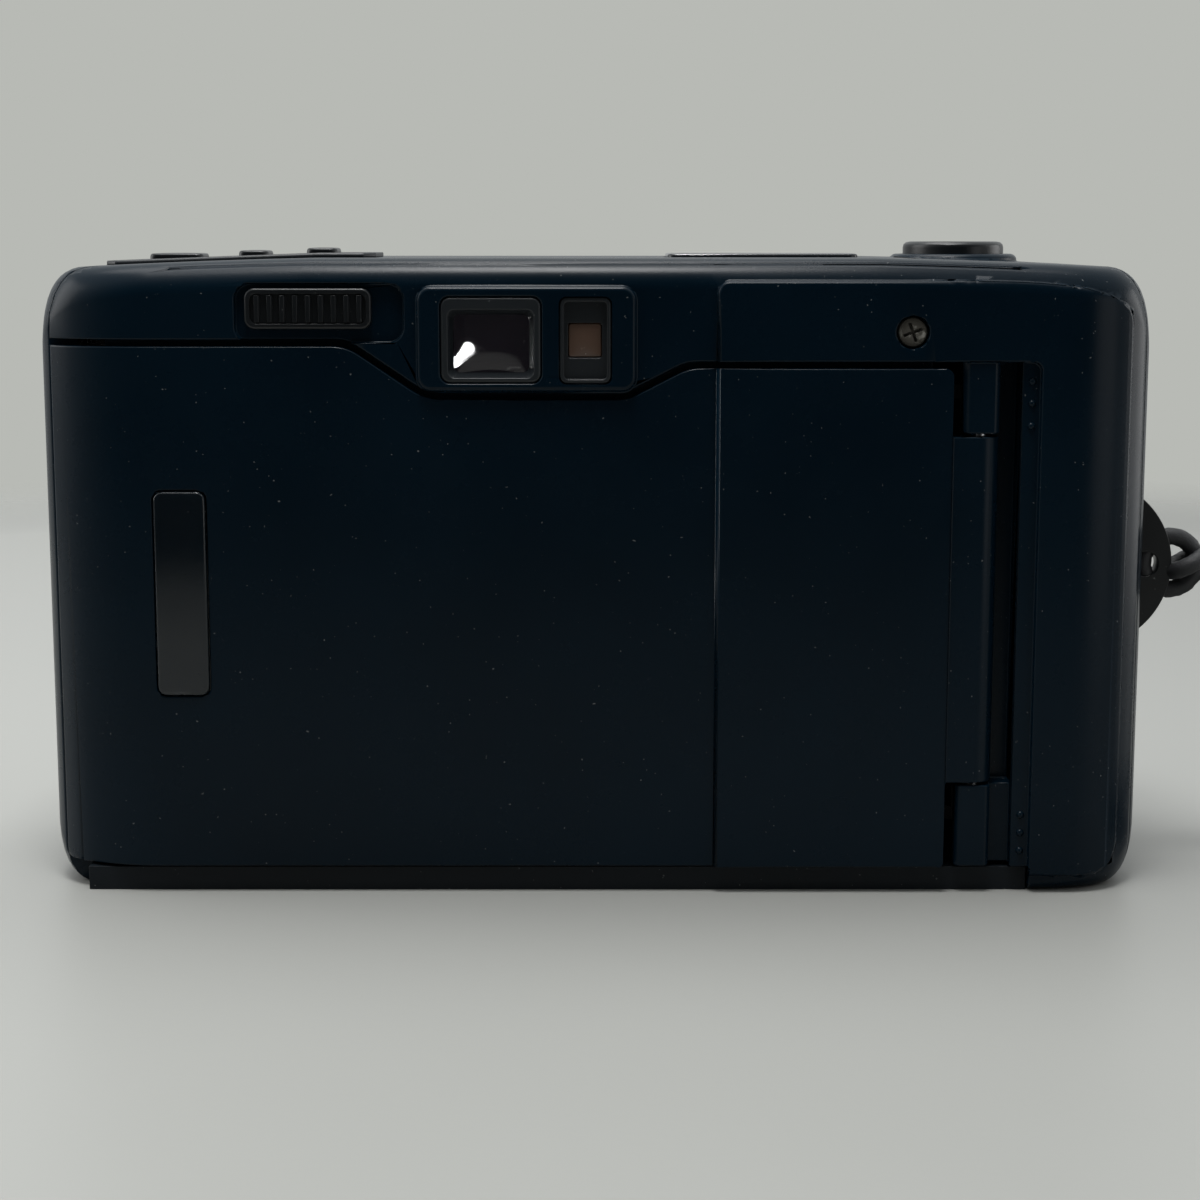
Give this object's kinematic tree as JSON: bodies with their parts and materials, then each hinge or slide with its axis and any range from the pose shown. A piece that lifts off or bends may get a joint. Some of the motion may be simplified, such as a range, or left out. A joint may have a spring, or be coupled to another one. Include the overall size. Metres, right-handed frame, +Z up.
{
  "type": "compact film camera",
  "caption": "Compact autofocus camera for 35 mm film with a hinged back door, panorama masks, lens cover blades, working keys and a wrist strap",
  "frame": {"origin": "mouth of the tripod socket, in the plane of the base", "axes": "+X to the right seen from behind, +Y forward through the lens, +Z up"},
  "size_m": [0.1642, 0.0556, 0.0702],
  "materials": {
    "shell": "black moulded plastic with a soft gloss",
    "door": "black moulded plastic with a soft gloss",
    "base": "fine matt grain",
    "trim": "satin black",
    "button": "smooth black",
    "clear_window": "clear tinted moulding",
    "lens": "coated glass",
    "chassis": "glass-filled black plastic",
    "blade": "blackened steel",
    "steel": "bright steel",
    "brass": "plain brass",
    "gear": "natural moulded plastic",
    "reflector": "bright",
    "foam": "closed-cell foam",
    "board": "laminate",
    "cell": "plain printed sleeve",
    "lug": "smooth black",
    "cord": "braided polyester"
  },
  "bodies": {
    "body": {"front_cover": "shell", "rear_cover": "shell", "lens_ring": "shell", "base_cover": "base", "eyepiece_frame": "trim", "indicator_bezel": "trim", "control_pad": "trim", "deck_window": "clear_window", "finder_glass": "clear_window", "focus_window": "clear_window", "flash_window": "clear_window", "eyepiece_lens": "lens", "finder_objective": "lens", "lamp_pipe": "lens", "flash_tube": "lens", "film_frame": "chassis", "finder_tunnel": "chassis", "hinge_pin": "steel", "rear_screw": "steel", "case_screws": "steel", "shutter_spring": "steel", "tripod_bush": "steel", "spool_motor": "steel", "battery_contacts": "brass", "flash_reflector": "reflector", "light_seal": "foam", "main_board": "board", "display_panel": "board", "battery": "cell", "flash_capacitor": "cell", "strap_lug": "lug", "wrist_strap": "cord", "strap_hitch": "cord"},
    "door": {"rear_door": "door", "film_window": "clear_window", "plate_spring": "steel"},
    "plate": {"pressure_plate": "blade"},
    "latch": {"door_latch": "trim"},
    "switch": {"panorama_knob": "trim"},
    "mask_top": {"mask_upper": "blade"},
    "mask_bottom": {"mask_lower": "blade"},
    "shutter_key": {"shutter_button": "button"},
    "mode_key": {"mode_button": "button"},
    "timer_key": {"timer_button": "button"},
    "rewind_key": {"rewind_button": "button"},
    "spool": {"take_up_spool": "chassis"},
    "pinion": {"motor_pinion": "brass"},
    "idler": {"reduction_gear": "gear"},
    "sprocket_wheel": {"sprocket": "chassis"},
    "fork": {"rewind_fork": "chassis"},
    "barrel": {"lens_barrel": "chassis", "front_lens": "lens", "rear_lens": "lens"},
    "blade_left": {"shutter_blade_left": "blade"},
    "blade_right": {"shutter_blade_right": "blade"},
    "cover_top": {"barrier_upper": "blade"},
    "cover_bottom": {"barrier_lower": "blade"},
    "battery_cap": {"battery_cover": "base"}
  },
  "joints": [
    {"name": "door_hinge", "type": "hinge", "parent": "body", "child": "door", "pos_m": [0.041, -0.0159, 0.03], "axis": [0, 0, 1], "range_deg": [0, 105]},
    {"name": "plate_slide", "type": "slide", "parent": "door", "child": "plate", "axis": [0, -1, 0], "range_m": [0, 0.0004], "stiffness_N_per_m": 500, "springref_m": -0.0005},
    {"name": "latch_slide", "type": "slide", "parent": "body", "child": "latch", "axis": [0, 0, -1], "range_m": [0, 0.005], "stiffness_N_per_m": 100, "springref_m": -0.002},
    {"name": "panorama_slide", "type": "slide", "parent": "body", "child": "switch", "axis": [1, 0, 0], "range_m": [0, 0.0023]},
    {"name": "mask_upper_slide", "type": "slide", "parent": "body", "child": "mask_top", "axis": [0, 0, -1], "range_m": [0, 0.006]},
    {"name": "mask_lower_slide", "type": "slide", "parent": "body", "child": "mask_bottom", "axis": [0, 0, 1], "range_m": [0, 0.006]},
    {"name": "shutter_press", "type": "slide", "parent": "body", "child": "shutter_key", "axis": [0, 0, -1], "range_m": [0, 0.0012], "stiffness_N_per_m": 400, "springref_m": -0.0005, "deforming": ["shutter_spring"]},
    {"name": "mode_press", "type": "slide", "parent": "body", "child": "mode_key", "axis": [0, 0, -1], "range_m": [0, 0.0005], "stiffness_N_per_m": 200, "springref_m": -0.0004},
    {"name": "timer_press", "type": "slide", "parent": "body", "child": "timer_key", "axis": [0, 0, -1], "range_m": [0, 0.0005], "stiffness_N_per_m": 200, "springref_m": -0.0004},
    {"name": "rewind_press", "type": "slide", "parent": "body", "child": "rewind_key", "axis": [0, 0, -1], "range_m": [0, 0.0005], "stiffness_N_per_m": 200, "springref_m": -0.0004},
    {"name": "spool_turn", "type": "hinge", "parent": "body", "child": "spool", "pos_m": [0.03, -0.0026, 0.03], "axis": [0, 0, 1], "continuous": true},
    {"name": "pinion_turn", "type": "hinge", "parent": "body", "child": "pinion", "pos_m": [0.03, -0.0026, 0.005], "axis": [0, 0, 1], "continuous": true},
    {"name": "idler_turn", "type": "hinge", "parent": "body", "child": "idler", "pos_m": [0.0199, -0.0026, 0.005], "axis": [0, 0, 1], "continuous": true},
    {"name": "sprocket_turn", "type": "hinge", "parent": "body", "child": "sprocket_wheel", "pos_m": [0.0154, -0.0084, 0.03], "axis": [0, 0, 1], "continuous": true},
    {"name": "fork_turn", "type": "hinge", "parent": "body", "child": "fork", "pos_m": [-0.044, -0.0012, 0.008], "axis": [0, 0, 1], "continuous": true},
    {"name": "focus_slide", "type": "slide", "parent": "body", "child": "barrel", "axis": [0, 1, 0], "range_m": [0, 0.0015]},
    {"name": "blade_left_slide", "type": "slide", "parent": "barrel", "child": "blade_left", "axis": [-1, 0, 0], "range_m": [0, 0.0054], "stiffness_N_per_m": 10, "springref_m": -0.002},
    {"name": "blade_right_slide", "type": "slide", "parent": "barrel", "child": "blade_right", "axis": [1, 0, 0], "range_m": [0, 0.0054]},
    {"name": "cover_top_slide", "type": "slide", "parent": "body", "child": "cover_top", "axis": [0, 0, 1], "range_m": [0, 0.0072], "stiffness_N_per_m": 20, "springref_m": -0.004},
    {"name": "cover_bottom_slide", "type": "slide", "parent": "body", "child": "cover_bottom", "axis": [0, 0, -1], "range_m": [0, 0.0072]},
    {"name": "cap_turn", "type": "hinge", "parent": "body", "child": "battery_cap", "pos_m": [0.047, 0.0086, 0.001], "axis": [0, 0, 1], "range_deg": [0, 60]}
  ],
  "couplings": [
    {"joint": "mask_upper_slide", "follows": "panorama_slide", "ratio": 2.5652},
    {"joint": "mask_lower_slide", "follows": "panorama_slide", "ratio": 2.5652},
    {"joint": "pinion_turn", "follows": "spool_turn", "ratio": 3},
    {"joint": "idler_turn", "follows": "spool_turn", "ratio": -1},
    {"joint": "sprocket_turn", "follows": "spool_turn", "ratio": 1.7},
    {"joint": "blade_right_slide", "follows": "blade_left_slide", "ratio": 1},
    {"joint": "cover_bottom_slide", "follows": "cover_top_slide", "ratio": 1}
  ]
}
